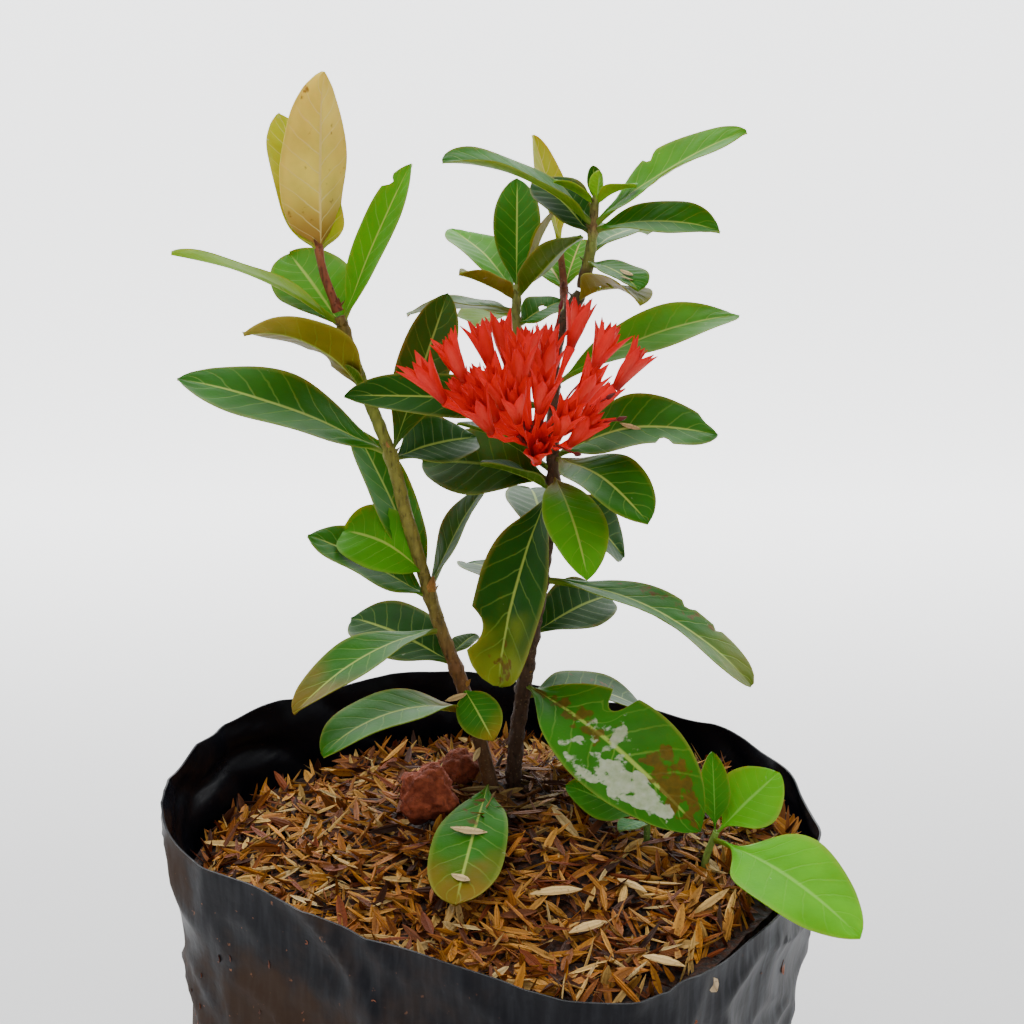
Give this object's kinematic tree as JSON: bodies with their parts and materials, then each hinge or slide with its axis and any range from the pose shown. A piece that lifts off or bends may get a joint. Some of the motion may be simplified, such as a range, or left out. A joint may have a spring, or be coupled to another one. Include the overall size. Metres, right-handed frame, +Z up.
{
  "type": "ixora plant in a grow bag",
  "caption": "Young red double-flowered ixora with a leafy left stem and a woody main stem, standing in a black polythene grow bag mulched with rice husks.",
  "frame": {"origin": "middle of the grow bag's flat bottom, on the surface it stands on", "axes": "+Z up, front (the picture's side) towards -Y, +X to the picture's right"},
  "size_m": [0.1504, 0.1427, 0.2869],
  "materials": {
    "black_polythene": "thin black polythene film, semi-gloss, dusty outside",
    "potting_mix": "dark loose potting soil",
    "rice_husk": "loose golden-brown rice husks over dark wet ones",
    "fired_clay": "matte porous red-brown crumb",
    "leaf_green": "leathery satin leaf with a pale midrib on olive to brown stems",
    "leaf_young": "soft yellow to tan young leaf on a red-brown internode",
    "petal_red": "matte scarlet petals",
    "weed_green": "soft bright green seedling leaf"
  },
  "bodies": {
    "root": {"grow_bag": "black_polythene", "potting_mix": "potting_mix", "husk_mulch": "rice_husk", "clay_lump_1": "fired_clay", "clay_lump_2": "fired_clay", "left_leafy_stem": "leaf_green", "left_young_shoot": "leaf_young", "main_leafy_stem": "leaf_green", "right_leafy_shoot": "leaf_green", "middle_leafy_shoot": "leaf_green", "back_young_shoot": "leaf_young", "flower_head": "petal_red", "weed_seedling": "weed_green", "weed_sprout": "weed_green"}
  },
  "joints": []
}
